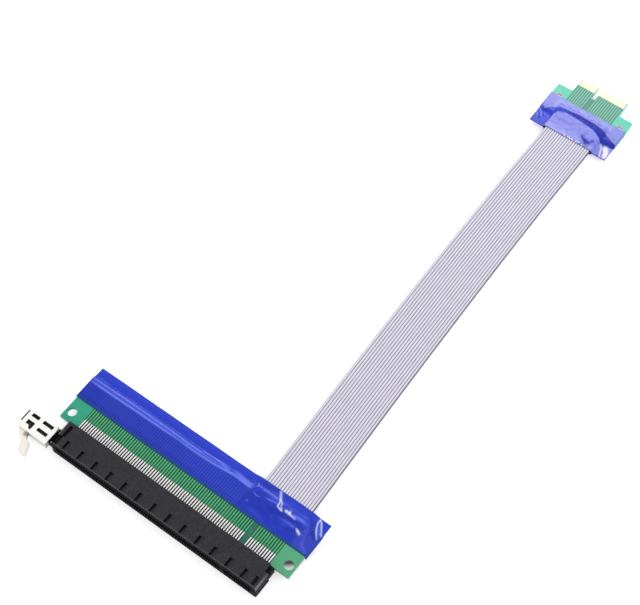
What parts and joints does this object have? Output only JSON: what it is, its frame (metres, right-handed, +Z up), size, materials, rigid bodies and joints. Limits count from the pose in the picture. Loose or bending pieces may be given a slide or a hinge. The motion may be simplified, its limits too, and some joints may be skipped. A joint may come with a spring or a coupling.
{
  "type": "expansion card riser",
  "caption": "Ribbon riser: a long card slot with a swinging latch on its own board, stacked flat ribbons, and a short keyed card-edge plug board.",
  "frame": {"origin": "middle of the slot housing's lower flank, on the table the riser lies on", "axes": "+X along the slot from the latch towards the key end, +Y from the slot's mouth along the ribbons to the plug, +Z up out of the table"},
  "size_m": [0.1104, 0.2572, 0.0079],
  "materials": {
    "housing_plastic": "fine matt",
    "contact_metal": "tin plated, satin",
    "latch_plastic": "smooth satin",
    "board_green": "solder mask over glass fibre board",
    "pad_metal": "tinned copper",
    "finger_gold": "gold plated",
    "solder": "bright solder",
    "tape_blue": "glossy film",
    "ribbon_grey": "soft flexible insulation"
  },
  "bodies": {
    "riser": {"plug_board": "board_green", "plug_fingers_lower": "finger_gold", "plug_fingers_upper": "finger_gold", "plug_tape_lower": "tape_blue", "plug_tape_upper": "tape_blue", "plug_wire_joints_lower": "solder", "plug_wire_joints_upper": "solder", "ribbon_lower": "ribbon_grey", "ribbon_upper": "ribbon_grey", "slot_board": "board_green", "slot_contacts_lower": "contact_metal", "slot_contacts_upper": "contact_metal", "slot_housing": "housing_plastic", "slot_pads_lower": "pad_metal", "slot_pads_upper": "pad_metal", "slot_tape_lower": "tape_blue", "slot_tape_upper": "tape_blue", "slot_wire_joints_lower": "solder", "slot_wire_joints_upper": "solder"},
    "latch": {"slot_latch": "latch_plastic"}
  },
  "joints": [
    {"name": "latch_pivot", "type": "hinge", "parent": "riser", "child": "latch", "pos_m": [-0.04535, 0.00005, 0.00375], "axis": [0, 0, -1], "range_deg": [0, 20]}
  ]
}
